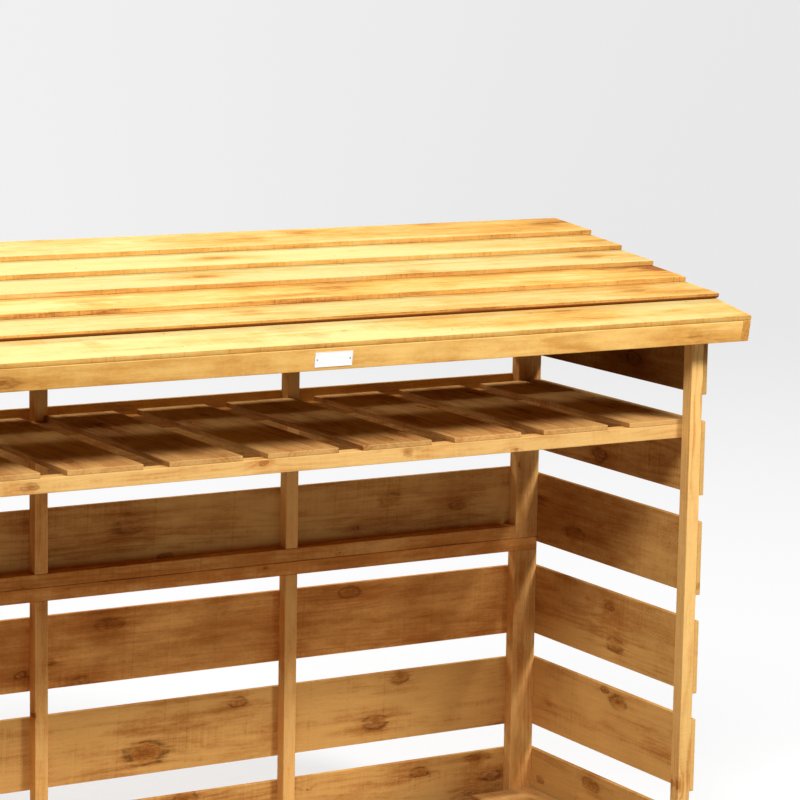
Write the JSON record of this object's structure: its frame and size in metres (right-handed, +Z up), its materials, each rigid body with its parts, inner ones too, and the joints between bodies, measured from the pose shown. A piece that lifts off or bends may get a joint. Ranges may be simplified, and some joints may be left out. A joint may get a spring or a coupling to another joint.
{
  "type": "log store",
  "caption": "Open-fronted timber log store with slatted sides and back, a slatted floor and shelf, and a sloping roof of lapped boards.",
  "frame": {"origin": "on the ground, at the centre of the store's overall box", "axes": "+X along the store's width, to the right of someone who looks into its open front; the open front faces -Y and the roof rises towards +Y; +Z up"},
  "size_m": [1.91, 0.72, 1.3086],
  "materials": {
    "wall_boards": "sawn, dip treated",
    "framing": "planed, dip treated",
    "slats": "sawn, dip treated",
    "roof_boards": "sawn, dip treated",
    "trim": "planed, dip treated",
    "fixings": "galvanised",
    "plate": "satin white"
  },
  "bodies": {
    "root": {"back_board_1": "wall_boards", "back_board_2": "wall_boards", "back_board_3": "wall_boards", "back_board_4": "wall_boards", "back_board_5": "wall_boards", "back_board_6": "wall_boards", "back_post_1": "framing", "back_post_2": "framing", "back_post_3": "framing", "back_post_4": "framing", "fascia": "trim", "floor_back_rail": "framing", "floor_bearers": "framing", "floor_front_rail": "framing", "floor_slats": "slats", "left_back_post": "framing", "left_bargeboard": "trim", "left_front_post": "framing", "left_rafter": "framing", "left_side_board_1": "wall_boards", "left_side_board_2": "wall_boards", "left_side_board_3": "wall_boards", "left_side_board_4": "wall_boards", "left_side_board_5": "wall_boards", "left_side_board_6": "wall_boards", "lower_mid_rail": "framing", "middle_rafters": "framing", "right_back_post": "framing", "right_bargeboard": "trim", "right_front_post": "framing", "right_rafter": "framing", "right_side_board_1": "wall_boards", "right_side_board_2": "wall_boards", "right_side_board_3": "wall_boards", "right_side_board_4": "wall_boards", "right_side_board_5": "wall_boards", "right_side_board_6": "wall_boards", "roof_back_rail": "trim", "roof_board_1": "roof_boards", "roof_board_2": "roof_boards", "roof_board_3": "roof_boards", "roof_board_4": "roof_boards", "roof_board_5": "roof_boards", "roof_board_6": "roof_boards", "shelf_back_rail": "framing", "shelf_front_rail": "framing", "shelf_slats": "slats", "upper_mid_rail": "framing"}
  },
  "joints": []
}
